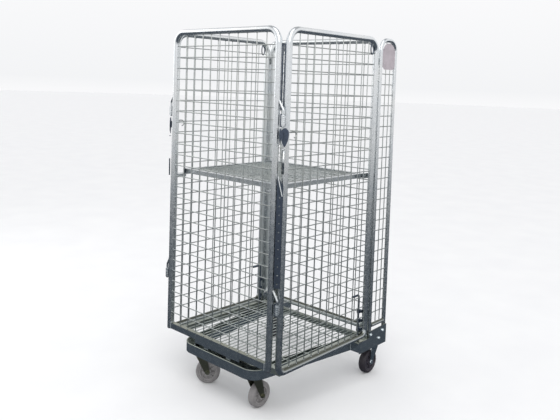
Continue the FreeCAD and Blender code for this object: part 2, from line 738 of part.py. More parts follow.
def hexagon(base, across_half, height):
    corners = []
    for i in range(7):
        angle = math.radians(60 * i)
        corners.append(base + V(across_half * math.cos(angle), across_half * math.sin(angle), 0))
    return Part.Face(Part.makePolygon(corners)).extrude(V(0, 0, height))


def castor_plate():
    plate = block(-46, 46, -24, 24, CHASSIS_BOTTOM - PLATE_T, CHASSIS_BOTTOM)
    upright = [e for e in plate.Edges if abs(e.tangentAt(0).z) > 0.9]
    plate = plate.makeFillet(6, upright)
    for hole in castor_holes(0, 0):
        plate = plate.cut(hole)
    return plate


def swivel_head():
    """Top plate with the fixed upper ball race and the king pin."""
    z = CHASSIS_BOTTOM - PLATE_T
    race = Part.makeCone(19, 23, 7, V(0, 0, z - 7), V(0, 0, 1))
    king = rod(V(0, 0, z - 17), V(0, 0, z), 6.0)
    head = rod(V(0, 0, z - 21), V(0, 0, z - 17), 9.0)
    return fused([castor_plate(), race, king, head])


def fork_profile(crown_z, crown_half):
    """Side plate outline: wide at the crown, tapering to a round end at the axle."""
    axle = V(TRAIL, 0, WHEEL_R)
    end_r = 12.0
    lean = math.atan2(TRAIL, crown_z - WHEEL_R)
    left = axle + V(-end_r * math.cos(lean), 0, -end_r * math.sin(lean))
    right = axle + V(end_r * math.cos(lean), 0, end_r * math.sin(lean) * 0.2)
    bottom = axle + V(0, 0, -end_r)
    top_left = V(-crown_half, 0, crown_z)
    top_right = V(crown_half, 0, crown_z)
    return [
        Part.LineSegment(top_left, left).toShape(),
        Part.Arc(left, bottom, right).toShape(),
        Part.LineSegment(right, top_right).toShape(),
        Part.LineSegment(top_right, top_left).toShape(),
    ]


def fork(crown_z, crown_half):
    """Pressed fork: two side plates joined by a crown; rolls along its own X."""
    face = Part.Face(Part.Wire(fork_profile(crown_z, crown_half)))
    plates = []
    for y in (FORK_GAP, -FORK_GAP - FORK_T):
        plate = face.extrude(V(0, FORK_T, 0))
        plate.translate(V(0, y, 0))
        plates.append(plate)
    outer = FORK_GAP + FORK_T
    crown = block(-crown_half, crown_half, -outer, outer, crown_z - FORK_T, crown_z)
    hole = rod(V(TRAIL, -60, WHEEL_R), V(TRAIL, 60, WHEEL_R), AXLE_R)
    return fused(plates + [crown]).cut(hole)


def swivel_fork(crown_half):
    """Fork with the lower ball race, hung from the king pin."""
    race_top = CHASSIS_BOTTOM - PLATE_T - 7 - BODY_GAP
    crown_top = race_top - 4
    body = fork(crown_top, crown_half)
    race = rod(V(0, 0, crown_top), V(0, 0, race_top), 25.0)
    king_hole = rod(V(0, 0, crown_top - 10), V(0, 0, race_top + 1), 6.0 + RUNNING_GAP)
    return fused([body, race]).cut(king_hole)


def axle_bolt():
    outer = FORK_GAP + FORK_T
    centre = V(TRAIL, 0, WHEEL_R)
    shank = rod(centre - V(0, outer + 9, 0), centre + V(0, outer + 4, 0), AXLE_R)
    head = hexagon(V(0, 0, 0), 9.0, 5.0)
    nut = hexagon(V(0, 0, 0), 9.0, 7.0)
    lay = FreeCAD.Placement(centre + V(0, outer + 5, 0), FreeCAD.Rotation(V(1, 0, 0), 90))
    head.Placement = lay
    lay = FreeCAD.Placement(centre - V(0, outer, 0), FreeCAD.Rotation(V(1, 0, 0), 90))
    nut.Placement = lay
    return fused([shank, head, nut])


def spun(outline):
    """Solid of revolution about the axle from (radius, across) points."""
    points = [V(TRAIL + r, w, WHEEL_R) for r, w in outline]
    face = Part.Face(Part.makePolygon(points + points[:1]))
    return face.revolve(V(TRAIL, 0, WHEEL_R), V(0, 1, 0), 360)


def hub_outline():
    half = WHEEL_W / 2
    seat = WHEEL_R - TYRE_T
    bore = AXLE_R + RUNNING_GAP
    boss = 17.0
    web = 6.0
    outline = [(bore, -half - 3), (boss, -half - 3), (boss + 2, -web - 2), (seat - 9, -web)]
    outline += [(seat - 6, -half + 3), (seat, -half + 3)]
    return outline + [(r, -w) for r, w in reversed(outline)]


def tyre_outline():
    half = WHEEL_W / 2
    seat = WHEEL_R - TYRE_T
    outline = [(seat, -half + 3), (seat + 3, -half), (seat + 8, -half), (seat + 9, -half + 1.2)]
    outline += [(seat + 10, -half), (WHEEL_R - 2.5, -half + 2.5), (WHEEL_R, -half + 7)]
    return outline + [(r, -w) for r, w in reversed(outline)]


def castor(name, x, y, turn, crown_half):
    """Saves one castor's moving pieces, turned about its king pin."""
    pieces = {
        "castor_fork_": swivel_fork(crown_half),
        "axle_": axle_bolt(),
        "wheel_hub_": spun(hub_outline()),
        "wheel_tyre_": spun(tyre_outline()),
    }
    for piece, shape in pieces.items():
        save(piece + name, placed(shape, x, y, turn))


def castors():
    heads = []
    bolts = []
    for side, sign in (("right", 1), ("left", -1)):
        front = (sign * FRONT_CASTOR_X, FRONT_CASTOR_Y)
        rear = (sign * REAR_CASTOR_X, REAR_CASTOR_Y)
        castor("front_" + side, *front, FRONT_CASTOR_TURN[side], FRONT_CROWN_HALF)
        castor("rear_" + side, *rear, REAR_CASTOR_TURN, REAR_CROWN_HALF)
        for place in (front, rear):
            heads.append(placed(swivel_head(), *place, 0))
            bolts += castor_bolts(*place)
    save("castor_heads", *heads)
    save("castor_bolts", *bolts)


os.makedirs("parts", exist_ok=True)
front_panel()
gates()
hinge_pins()
back_panel()
clamps()
wings()
label_plate()
chassis()
bolt_keepers()
deck()
shelf()
castors()
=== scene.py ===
import json
import math

import bmesh
import bpy
from mathutils import Matrix, Vector


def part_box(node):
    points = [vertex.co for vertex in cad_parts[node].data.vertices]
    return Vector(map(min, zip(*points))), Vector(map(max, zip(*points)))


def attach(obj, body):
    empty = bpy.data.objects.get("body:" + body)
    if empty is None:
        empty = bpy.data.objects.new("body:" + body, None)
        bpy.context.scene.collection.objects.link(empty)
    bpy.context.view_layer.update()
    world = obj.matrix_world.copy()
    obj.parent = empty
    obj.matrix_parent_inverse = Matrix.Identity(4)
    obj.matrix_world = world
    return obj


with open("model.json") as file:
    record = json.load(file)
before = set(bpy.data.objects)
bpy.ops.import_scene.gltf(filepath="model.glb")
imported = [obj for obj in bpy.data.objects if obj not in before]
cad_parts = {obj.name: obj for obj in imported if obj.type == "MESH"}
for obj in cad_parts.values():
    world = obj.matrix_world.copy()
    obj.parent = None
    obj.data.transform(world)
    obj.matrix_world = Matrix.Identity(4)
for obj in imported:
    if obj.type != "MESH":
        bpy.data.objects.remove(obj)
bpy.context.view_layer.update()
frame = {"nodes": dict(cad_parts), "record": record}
NODES = frame["nodes"]
BEHAVIOUR = frame["record"]["behaviour"]
BODY_OF = {node: body for body, names in BEHAVIOUR["bodies"].items() for node in names}
JOINTS = {joint["name"]: joint for joint in BEHAVIOUR["joints"]}
SIDES = (("right", 1), ("left", -1))

# Sizes of CAD parts that the extra pieces follow. Everything is in metres.
TUBE_R = 0.014
WING_TUBE_R = 0.010
SLEEVE_R = 0.008
CHANNEL_W = 0.050
NOSE_BEND = 0.070
NOSE_SWEEP = math.radians(81.5)


# ---- materials ---------------------------------------------------------------
def set_stops(ramp, stops):
    """Places colours along a colour ramp."""
    while len(ramp.elements) < len(stops):
        ramp.elements.new(0.5)
    for element, (place, color) in zip(ramp.elements, stops):
        element.position = place
        element.color = (*color, 1)


class Nodes:
    """Small helper that builds one node material."""

    def __init__(self, name):
        self.material = bpy.data.materials.new(name)
        self.material.use_nodes = True
        self.tree = self.material.node_tree
        self.shader = self.tree.nodes["Principled BSDF"]
        self.coords = self.tree.nodes.new("ShaderNodeTexCoord")

    def add(self, kind, **values):
        """Adds a node and sets its sockets, or its own settings, by name."""
        node = self.tree.nodes.new("ShaderNode" + kind)
        for key, value in values.items():
            if key in node.inputs:
                node.inputs[key].default_value = value
            else:
                setattr(node, key, value)
        return node

    def link(self, source, target):
        self.tree.links.new(source, target)

    def texture(self, kind, scale, stretch=None, **values):
        """Texture in the object's own coordinates, scaled along each axis if asked."""
        node = self.add(kind, Scale=scale, **values)
        source = self.coords.outputs["Object"]
        if stretch:
            mapping = self.add("Mapping", Scale=stretch)
            self.link(source, mapping.inputs["Vector"])
            source = mapping.outputs["Vector"]
        self.link(source, node.inputs["Vector"])
        return node

    def ramp(self, source, stops):
        """Colour that follows a value, from (place, colour) stops."""
        node = self.add("ValToRGB")
        set_stops(node.color_ramp, stops)
        self.link(source, node.inputs["Fac"])
        return node.outputs["Color"]

    def span(self, source, low, high, start=0.0, end=1.0):
        """Maps the stretch from start to end onto low to high."""
        node = self.add("MapRange")
        for index, value in enumerate((start, end, low, high)):
            node.inputs[index + 1].default_value = value
        self.link(source, node.inputs["Value"])
        return node.outputs["Result"]

    def mix(self, factor, a, b, blend="MIX"):
        """Mixes two colours, each of them a socket or three numbers."""
        node = self.add("Mix", data_type="RGBA", blend_type=blend)
        for socket, value in ((node.inputs[0], factor), (node.inputs[6], a), (node.inputs[7], b)):
            if isinstance(value, bpy.types.NodeSocket):
                self.link(value, socket)
            else:
                socket.default_value = value if isinstance(value, float) else (*value, 1)
        return node.outputs[2]

    def bump(self, source, strength, distance):
        node = self.add("Bump", Strength=strength, Distance=distance)
        self.link(source, node.inputs["Height"])
        self.link(node.outputs["Normal"], self.shader.inputs["Normal"])


def shade(color, factor):
    return tuple(min(1.0, c * factor) for c in color)


def zinc(name, color, rough, cell=90.0, contrast=0.10, foot=1.0, shade_on_ledges=None):
    """Galvanised steel: spangle, cloudy patina, drips, painted shade that darkens it towards the floor,
    and painted shade on upward faces near the floor.

    cell is the number of crystals along a metre and contrast how far their tones differ.
    foot is the tone's factor near the floor, which paints shade there, and the last argument is the
    painted shade colour of upward faces near the floor.
    """
    # Painted shade: between the first two heights the tone darkens towards the floor, standing in for
    # dark reflections low on the cage.
    foot_z = 0.2
    unshaded_z = 1.5
    # Painted shade: between these two heights, upward faces darken towards the floor.
    full_ledge_shade_z = 0.30
    no_ledge_shade_z = 0.50
    stain = 0.10
    m = Nodes(name)
    spangle = m.texture("TexVoronoi", cell, Randomness=1.0)
    cloud = m.texture("TexNoise", 7.0, Detail=5.0, Roughness=0.6)
    grain = m.texture("TexNoise", 420.0, Detail=3.0)
    drip = m.texture("TexNoise", 26.0, stretch=(1.0, 1.0, 0.16), Detail=4.0)
    crystals = m.add("SeparateColor")
    m.link(spangle.outputs["Color"], crystals.inputs["Color"])
    tone = m.ramp(
        crystals.outputs["Red"],
        [(0.0, shade(color, 1 - contrast)), (1.0, shade(color, 1 + contrast))],
    )
    patina = m.ramp(
        cloud.outputs["Fac"], [(0.35, (0.88, 0.91, 0.93)), (0.70, (1.0, 1.0, 0.98))]
    )
    tone = m.mix(0.8, tone, patina, "MULTIPLY")
    streak = m.span(drip.outputs["Fac"], 0.0, stain, 0.52, 0.78)
    tone = m.mix(streak, tone, shade(color, 0.62))
    place = m.add("SeparateXYZ")
    m.link(m.coords.outputs["Object"], place.inputs["Vector"])
    # Painted shade: multiplies the tone darker towards the floor.
    shade_fade = m.span(place.outputs["Z"], 0.0, 1.0, foot_z, unshaded_z)
    low_shade = m.ramp(shade_fade, [(0.0, (foot, foot * 1.03, foot * 1.04)), (1.0, (1.0, 1.0, 1.0))])
    tone = m.mix(1.0, tone, low_shade, "MULTIPLY")
    # Painted shade: upward faces near the floor take a dark colour, which dulls their reflections.
    if shade_on_ledges:
        facing = m.add("SeparateXYZ")
        m.link(m.coords.outputs["Normal"], facing.inputs["Vector"])
        upward = m.span(facing.outputs["Z"], 0.0, 1.0, 0.2, 0.7)
        near_floor = m.span(place.outputs["Z"], 1.0, 0.0, full_ledge_shade_z, no_ledge_shade_z)
        both = m.add("Math", operation="MULTIPLY")
        m.link(upward, both.inputs[0])
        m.link(near_floor, both.inputs[1])
        tone = m.mix(both.outputs[0], tone, shade_on_ledges)
    m.link(tone, m.shader.inputs["Base Color"])
    m.shader.inputs["Metallic"].default_value = 1.0
    m.link(
        m.span(crystals.outputs["Green"], rough - 0.04, rough + 0.05),
        m.shader.inputs["Roughness"],
    )
    m.bump(grain.outputs["Fac"], 0.04, 0.0003)
    return m.material


def moulded(name, color, rough, wear=0.3):
    """Moulded plastic or rubber: fine texture, dust in patches and scuffed faces."""
    m = Nodes(name)
    dust = m.texture("TexNoise", 34.0, Detail=6.0, Roughness=0.65)
    scuff = m.texture("TexNoise", 150.0, stretch=(1.0, 1.0, 2.4), Detail=4.0)
    grain = m.texture("TexNoise", 900.0, Detail=2.0)
    base = m.ramp(dust.outputs["Fac"], [(0.3, shade(color, 0.82)), (0.75, shade(color, 1.14))])
    amount = m.span(scuff.outputs["Fac"], 0.0, wear, 0.5, 0.75)
    base = m.mix(amount, base, shade(color, 0.6))
    m.link(base, m.shader.inputs["Base Color"])
    m.link(
        m.span(dust.outputs["Fac"], rough - 0.08, rough + 0.10, 0.3, 0.8),
        m.shader.inputs["Roughness"],
    )
    m.bump(grain.outputs["Fac"], 0.18, 0.0005)
    return m.material


# Painted shade colours for the upward faces of low tubes and sheet.
LOW_LEDGE_SHADE = (0.125, 0.131, 0.109)
PALE_LEDGE_SHADE = (0.28, 0.29, 0.24)
# foot sets how far painted shade darkens each material towards the floor.
TUBE = zinc("galvanised_tube", (0.82, 0.83, 0.84), 0.24, 120.0, contrast=0.03, foot=0.66, shade_on_ledges=LOW_LEDGE_SHADE)
PALE_TUBE = zinc("pale_tube", (0.84, 0.85, 0.85), 0.32, 120.0, contrast=0.03, foot=0.8, shade_on_ledges=LOW_LEDGE_SHADE)
WIRE = zinc("galvanised_wire", (0.58, 0.595, 0.58), 0.34, cell=260.0, contrast=0.08, foot=0.66)
# Painted light: the shelf's wire is a lighter copy of the galvanised wire, standing in for the
# highlights on the shelf.
LIT_SHELF_WIRE = zinc("shelf_wire", (0.62, 0.64, 0.62), 0.30, cell=260.0)
DECK_WIRE = zinc("deck_wire", (0.60, 0.62, 0.58), 0.32, cell=260.0, contrast=0.08)
SHEET = zinc("galvanised_sheet", (0.56, 0.575, 0.585), 0.22, 70.0, contrast=0.04, shade_on_ledges=PALE_LEDGE_SHADE)
RAIL = zinc("deck_rail", (0.44, 0.45, 0.40), 0.36, cell=80.0, contrast=0.07)
CASTOR = zinc("castor_steel", (0.17, 0.165, 0.12), 0.34, cell=240.0)
OLIVE_BOLT = zinc("olive_bolt", (0.26, 0.25, 0.18), 0.36, cell=400.0)
REAR_CASTOR = zinc("rear_castor_steel", (0.30, 0.34, 0.38), 0.30, cell=200.0, contrast=0.08)
BOLT = zinc("bright_fastener", (0.82, 0.83, 0.84), 0.20, cell=500.0, contrast=0.05)
DARK = zinc("dark_steel", (0.10, 0.12, 0.16), 0.42, cell=200.0, contrast=0.15)
WELD = zinc("weld_bead", (0.58, 0.59, 0.60), 0.42, cell=600.0, contrast=0.15)
PLUG = moulded("tube_plug", (0.03, 0.03, 0.035), 0.45)
LABEL = moulded("label_plate", (0.43, 0.385, 0.415), 0.55, wear=0.12)
FRONT_TYRE = moulded("front_tyre", (0.245, 0.235, 0.235), 0.50, wear=0.22)
FRONT_HUB = moulded("front_hub", (0.30, 0.29, 0.29), 0.42, wear=0.18)
REAR_TYRE = moulded("rear_tyre", (0.026, 0.021, 0.029), 0.48)
REAR_HUB = moulded("rear_hub", (0.05, 0.045, 0.06), 0.45)

SLOT_MATERIALS = {
    "galvanised_tube": TUBE,
    "galvanised_wire": WIRE,
    "galvanised_sheet": SHEET,
    "castor_steel": CASTOR,
    "rear_castor_steel": REAR_CASTOR,
    "fastener": BOLT,
    "dark_steel": DARK,
    "label": LABEL,
    "front_tyre": FRONT_TYRE,
    "front_hub": FRONT_HUB,
    "rear_tyre": REAR_TYRE,
    "rear_hub": REAR_HUB,
}
OWN_MATERIALS = {
    "deck_frame": RAIL,
    "shelf_mesh": LIT_SHELF_WIRE,
    "deck_mesh": DECK_WIRE,
    "axle_front_right": OLIVE_BOLT,
    "axle_front_left": OLIVE_BOLT,
    "gate_hinge_sleeves_right": BOLT,
    "gate_hinge_sleeves_left": BOLT,
    "back_panel_frame": PALE_TUBE,
    "gate_frame_left": PALE_TUBE,
}


def paint_nodes():
    """Gives each CAD node its slot's material, or its own where it has one."""
    for part in frame["record"]["subparts"]:
        node = part["node"]
        materials = NODES[node].data.materials
        materials.clear()
        materials.append(OWN_MATERIALS.get(node, SLOT_MATERIALS[part["material_slot"]]))


# ---- helpers for the extra pieces --------------------------------------------
def fasten(name, data, body):
    """Adds a mesh or curve as a named piece that rides on a body."""
    obj = bpy.data.objects.new(name, data)
    bpy.context.scene.collection.objects.link(obj)
    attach(obj, body)


def piece(name, shape, material, body, smooth=True):
    """Turns a bmesh into one named piece that rides on a body."""
    mesh = bpy.data.meshes.new(name)
    for face in shape.faces:
        face.smooth = smooth
    shape.to_mesh(mesh)
    shape.free()
    mesh.materials.append(material)
    fasten(name, mesh, body)


def wire_curve(name, points, radius, material, body):
    """Bent wire along a smooth curve that the points steer."""
    data = bpy.data.curves.new(name, "CURVE")
    data.dimensions = "3D"
    data.bevel_depth = radius
    data.bevel_resolution = 3
    data.use_fill_caps = True
    spline = data.splines.new("NURBS")
    spline.points.add(len(points) - 1)
    for point, place in zip(spline.points, points):
        point.co = (*place, 1)
    spline.order_u = 3
    spline.use_endpoint_u = True
    data.materials.append(material)
    fasten(name, data, body)


def outer_x(node):
    """Distance from the cage's middle to a side node's outer face."""
    low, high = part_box(node)
    return max(abs(low[0]), abs(high[0]))


def islands(node):
    """Lowest and highest corner of each separate solid in a CAD node's mesh."""
    shape = bmesh.new()
    shape.from_mesh(NODES[node].data)
    bmesh.ops.remove_doubles(shape, verts=shape.verts, dist=1e-6)
    boxes = []
    for first in shape.verts:
        if first.tag:
            continue
        first.tag = True
        waiting = [first]
        places = []
        while waiting:
            vert = waiting.pop()
            places.append(vert.co.copy())
            for edge in vert.link_edges:
                other = edge.other_vert(vert)
                if not other.tag:
                    other.tag = True
                    waiting.append(other)
        low = Vector([min(p[i] for p in places) for i in range(3)])
        high = Vector([max(p[i] for p in places) for i in range(3)])
        boxes.append((low, high))
    shape.free()
    return boxes


def blob(shape, place, size):
    """Small rounded lump of metal, sized along X, Y and Z."""
    matrix = Matrix.Translation(place) @ Matrix.Diagonal((*size, 1.0))
    bmesh.ops.create_icosphere(shape, subdivisions=1, radius=1.0, matrix=matrix)


def ring(shape, place, axis, radius, thick, segments):
    """Torus round an axis."""
    sides = 8
    turn = Vector((0, 0, 1)).rotation_difference(Vector(axis)).to_matrix().to_4x4()
    matrix = Matrix.Translation(place) @ turn
    loops = []
    for i in range(segments):
        a = math.tau * i / segments
        loop = []
        for j in range(sides):
            b = math.tau * j / sides
            r = radius + thick * math.cos(b)
            local = Vector((r * math.cos(a), r * math.sin(a), thick * math.sin(b)))
            loop.append(shape.verts.new(matrix @ local))
        loops.append(loop)
    for i in range(segments):
        here = loops[i]
        ahead = loops[(i + 1) % segments]
        for j in range(sides):
            k = (j + 1) % sides
            shape.faces.new((here[j], ahead[j], ahead[k], here[k]))


def level_bar(shape, points, radius):
    """Round bar through a level row of points, closed at both ends."""
    sides = 10
    loops = []
    for i, place in enumerate(points):
        before = points[max(0, i - 1)]
        after = points[min(len(points) - 1, i + 1)]
        along = (after - before).normalized()
        out = along.cross(Vector((0, 0, 1))).normalized()
        loop = []
        for j in range(sides):
            angle = math.tau * j / sides
            offset = out * math.cos(angle) + Vector((0, 0, 1)) * math.sin(angle)
            loop.append(shape.verts.new(place + offset * radius))
        loops.append(loop)
    for here, ahead in zip(loops, loops[1:]):
        for j in range(sides):
            k = (j + 1) % sides
            shape.faces.new((here[j], ahead[j], ahead[k], here[k]))
    shape.faces.new(loops[0])
    shape.faces.new(list(reversed(loops[-1])))


def soften(shape, made, offset, segments):
    """Bevels every edge of what was just made in a bmesh."""
    edges = {edge for vert in made["verts"] for edge in vert.link_edges}
    return bmesh.ops.bevel(
        shape, geom=list(edges), offset=offset, segments=segments, affect="EDGES"
    )


def box_piece(shape, low, high, bevel):
    """Block with softened edges."""
    low = Vector(low)
    high = Vector(high)
    matrix = Matrix.Translation((low + high) / 2) @ Matrix.Diagonal((*(high - low), 1.0))
    soften(shape, bmesh.ops.create_cube(shape, size=1.0, matrix=matrix), bevel, 2)


def disc(shape, matrix, sides, bottom_r, top_r, depth, bevel):
    """Short round or hexagonal disc with softened edges."""
    made = bmesh.ops.create_cone(
        shape,
        cap_ends=True,
        segments=sides,
        radius1=bottom_r,
        radius2=top_r,
        depth=depth,
        matrix=matrix,
    )
    soften(shape, made, bevel, 1)


def turned(shape, place, angle):
    """Turns everything in a bmesh about Z, then moves it to a place."""
    spin = Matrix.Rotation(angle, 4, "Z")
    bmesh.ops.transform(shape, verts=shape.verts, matrix=Matrix.Translation(place) @ spin)


# ---- welds -------------------------------------------------------------------
def bead(shape, points, size):
    """Row of overlapping lumps, as a hand weld leaves them."""
    pitch = 0.9 * size
    for start, end in zip(points, points[1:]):
        steps = max(1, round((end - start).length / pitch))
        for i in range(steps):
            blob(shape, start.lerp(end, i / steps), (size, size, size))


def circle_points(place, radius):
    """Level circle as a closed row of points."""
    count = 20
    points = []
    for i in range(count + 1):
        a = math.tau * i / count
        points.append(place + Vector((radius * math.cos(a), radius * math.sin(a), 0)))
    return points


def long_axis(low, high):
    size = high - low
    return max(range(3), key=lambda i: size[i])


def mesh_welds(node):
    """Nuggets where a mesh's wires cross, and a small weld at each wire's ends."""
    wires = [(low, high, long_axis(low, high)) for low, high in islands(node)]
    radius = min((high - low)[(axis + 1) % 3] for low, high, axis in wires) / 2
    first_axis, second_axis = sorted({axis for _, _, axis in wires})
    flat = 3 - first_axis - second_axis
    nugget = Vector((1.45 * radius,) * 3)
    nugget[flat] = 0.75 * radius
    end_weld = (1.5 * radius,) * 3
    first = [wire for wire in wires if wire[2] == first_axis]
    second = [wire for wire in wires if wire[2] == second_axis]
    shape = bmesh.new()
    for low_a, high_a, axis_a in first:
        for low_b, high_b, axis_b in second:
            place = Vector((0, 0, 0))
            place[axis_a] = (low_b[axis_a] + high_b[axis_a]) / 2
            place[axis_b] = (low_a[axis_b] + high_a[axis_b]) / 2
            place[flat] = (low_a[flat] + high_a[flat] + low_b[flat] + high_b[flat]) / 4
            inside_a = low_a[axis_a] < place[axis_a] < high_a[axis_a]
            inside_b = low_b[axis_b] < place[axis_b] < high_b[axis_b]
            if inside_a and inside_b:
                blob(shape, place, nugget)
    for low, high, axis in wires:
        middle = (low + high) / 2
        for end in (low, high):
            place = middle.copy()
            place[axis] = end[axis]
            blob(shape, place, end_weld)
    piece(node + "_welds", shape, WELD, BODY_OF[node])


def pin_beads():
    """Bead where each bent hinge pin meets the front panel's tube."""
    shape = bmesh.new()
    for low, high in islands("gate_hinge_pins"):
        sign = 1 if low.x > 0 else -1
        root = Vector((low.x if sign > 0 else high.x, (low.y + high.y) / 2, high.z - 0.007))
        ring(shape, root + Vector((0.003 * sign, -0.001, 0)), (1, 0, 0), 0.0052, 0.0018, 24)
    piece("gate_pin_beads", shape, WELD, "chassis")


def rail_beads():
    """Beads where the front panel's rail meets its uprights, and in dashes along its bracket."""
    low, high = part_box("front_panel_rail")
    lip_low, lip_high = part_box("front_panel_bracket")
    inset = 0.0055
    dashes = 6
    dash = 0.03
    margin = 0.02
    shape = bmesh.new()
    for x in (low[0] + inset, high[0] - inset):
        corners = [
            Vector((x, low[1], low[2])),
            Vector((x, low[1], high[2])),
            Vector((x, high[1], high[2])),
        ]
        bead(shape, corners, 0.0018)
    pitch = (lip_high[0] - lip_low[0] - 2 * margin - dash) / (dashes - 1)
    for i in range(dashes):
        start = Vector((lip_low[0] + margin + i * pitch, lip_low[1], lip_high[2] - 0.0008))
        bead(shape, [start, start + Vector((dash, 0, 0))], 0.0017)
    piece("front_panel_beads", shape, WELD, "chassis")


def chassis_beads():
    """Weld seams at the feet of the wing posts and where the legs meet the pans."""
    seam_height = 0.036
    shape = bmesh.new()
    for side, sign in SIDES:
        wing_low, wing_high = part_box("wing_frame_" + side)
        post_x = sign * (outer_x("wing_frame_" + side) - WING_TUBE_R)
        for post_y in (wing_low[1] + WING_TUBE_R, wing_high[1] - WING_TUBE_R):
            foot = Vector((post_x, post_y, wing_low[2] + 0.0005))
            bead(shape, circle_points(foot, WING_TUBE_R + 0.0005), 0.0016)
        leg_x = sign * outer_x("chassis_leg_" + side)
        leg_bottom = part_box("chassis_leg_" + side)[0][2]
        pan_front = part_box("rear_pan_" + side)[0][1]
        low = Vector((leg_x, pan_front - 0.0005, leg_bottom + 0.003))
        bead(shape, [low, low + Vector((0, 0, seam_height))], 0.0018)
    piece("chassis_beads", shape, WELD, "chassis")


# ---- chassis and panels ------------------------------------------------------
def plugs():
    """Dark plugs in the open lower ends of the front panel's uprights."""
    low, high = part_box("front_panel_frame")
    middle_y = (low[1] + high[1]) / 2
    shape = bmesh.new()
    for sign in (1, -1):
        place = Vector((sign * (high[0] - TUBE_R), middle_y, low[2] - 0.001))
        disc(shape, Matrix.Translation(place), 32, 0.0128, 0.0134, 0.003, 0.0005)
    piece("front_panel_plugs", shape, PLUG, "chassis", smooth=False)


def label_rivets():
    """Four domed rivets that hold the label plate."""
    low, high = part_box("label_plate")
    shape = bmesh.new()
    for y in (low[1] + 0.012, high[1] - 0.012):
        for z in (low[2] + 0.024, high[2] - 0.028):
            blob(shape, Vector((high[0], y, z)), (0.0012, 0.0028, 0.0028))
    piece("label_rivets", shape, BOLT, "chassis")


def nose_outline(half, front, inset, z):
    """Points along the nose's outline, from its left bend to its right one."""
    steps = 12
    radius = NOSE_BEND - inset
    centre_x = half - NOSE_BEND
    centre_y = front + NOSE_BEND
    right = []
    for i in range(steps + 1):
        angle = NOSE_SWEEP * i / steps
        right.append(
            Vector((centre_x + radius * math.sin(angle), centre_y - radius * math.cos(angle), z))
        )
    left = [Vector((-p.x, p.y, p.z)) for p in reversed(right)]
    return left + right


def nose_rims():
    """Rolled edges along the top of the nose's outer and inner walls."""
    low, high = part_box("chassis_nose")
    half = high[0] + NOSE_BEND * (1 - math.sin(NOSE_SWEEP))
    half_wall = 0.0015
    rim_r = 0.0024
    shape = bmesh.new()
    for inset in (half_wall, CHANNEL_W - half_wall):
        level_bar(shape, nose_outline(half, low[1], inset, high[2]), rim_r)
    piece("nose_rims", shape, RAIL, "chassis")


def hexagon_bolt(shape, place, sign):
    """Bolt head on a washer, both lying against an upright face that looks along X."""
    washer_h = 0.0014
    head_r = 0.0065
    head_h = 0.005
    taper = 0.97
    base = Matrix.Translation(place) @ Matrix.Rotation(math.radians(90) * sign, 4, "Y")
    rows = ((28, 1.35 * head_r, washer_h, washer_h / 2), (6, head_r, head_h, washer_h + head_h / 2))
    for sides, radius, depth, lift in rows:
        matrix = base @ Matrix.Translation((0, 0, lift))
        disc(shape, matrix, sides, radius, taper * radius, depth, 0.0004)


def pan_bolts(side, sign):
    """Bolts that show on the outer plate of a rear pan."""
    low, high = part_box("rear_pan_" + side)
    x = sign * outer_x("rear_pan_" + side)
    middle_z = (low[2] + high[2]) / 2
    places = ((low[1] + 0.094, 0.022), (high[1] - 0.030, 0.020), (high[1] - 0.062, -0.012))
    shape = bmesh.new()
    for y, lift in places:
        hexagon_bolt(shape, Vector((x, y, middle_z + lift)), sign)
    piece("pan_bolts_" + side, shape, BOLT, "chassis", smooth=False)


# ---- castors -----------------------------------------------------------------
def hub_rib(angle, face):
    """One radial rib on a wheel's hub, made about the wheel's centre with Y as its axle."""
    inner_r, outer_r, half_width = 0.0165, 0.0362, 0.0014
    y0, y1 = sorted((face * 0.0062, face * 0.0128))
    rib = bmesh.new()
    box_piece(rib, (inner_r, y0, -half_width), (outer_r, y1, half_width), 0.0006)
    turn = Matrix.Rotation(angle, 3, "Y")
    bmesh.ops.rotate(rib, verts=rib.verts, cent=(0, 0, 0), matrix=turn)
    return rib


def add_shape(shape, extra):
    """Moves one bmesh's faces into another."""
    mesh = bpy.data.meshes.new("extra")
    extra.to_mesh(mesh)
    extra.free()
    shape.from_mesh(mesh)
    bpy.data.meshes.remove(mesh)


def wheel_details(end, side):
    """Hub ribs and raised rings on both faces of a wheel, and washers on its axle."""
    rib_count = 8
    name = end + "_" + side
    joint = JOINTS["wheel_" + name + "_spin"]
    place = Vector(joint["pos_m"])
    axis = Vector(joint["axis"])
    angle = math.atan2(-axis.x, axis.y)
    ribs = bmesh.new()
    washers = bmesh.new()
    for face in (-1, 1):
        for i in range(rib_count):
            add_shape(ribs, hub_rib(math.tau * i / rib_count, face))
        ring(ribs, Vector((0, face * 0.0141, 0)), (0, 1, 0), 0.0385, 0.0011, 48)
        ring(ribs, Vector((0, face * 0.0200, 0)), (0, 1, 0), 0.0135, 0.0009, 32)
        ring(washers, Vector((0, face * 0.0243, 0)), (0, 1, 0), 0.0095, 0.0012, 28)
    turned(ribs, place, angle)
    turned(washers, place, angle)
    hub = FRONT_HUB if end == "front" else REAR_HUB
    washer_metal = OLIVE_BOLT if end == "front" else BOLT
    piece("wheel_ribs_" + name, ribs, hub, "wheel_" + name)
    piece("axle_washers_" + name, washers, washer_metal, "castor_" + name)


def race_rings(end, side):
    """Rolled lips of the ball race: one on the top plate, one on the fork."""
    name = end + "_" + side
    x, y, _ = JOINTS["castor_" + name + "_swivel"]["pos_m"]
    head_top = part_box("castor_heads")[1][2]
    fork_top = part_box("castor_fork_" + name)[1][2]
    upper = bmesh.new()
    ring(upper, Vector((x, y, head_top - 0.0047)), (0, 0, 1), 0.0225, 0.0012, 40)
    piece("race_lip_" + name, upper, BOLT, "chassis")
    lower = bmesh.new()
    ring(lower, Vector((x, y, fork_top - 0.0020)), (0, 0, 1), 0.0250, 0.0013, 40)
    steel = CASTOR if end == "front" else REAR_CASTOR
    piece("fork_lip_" + name, lower, steel, "castor_" + name)


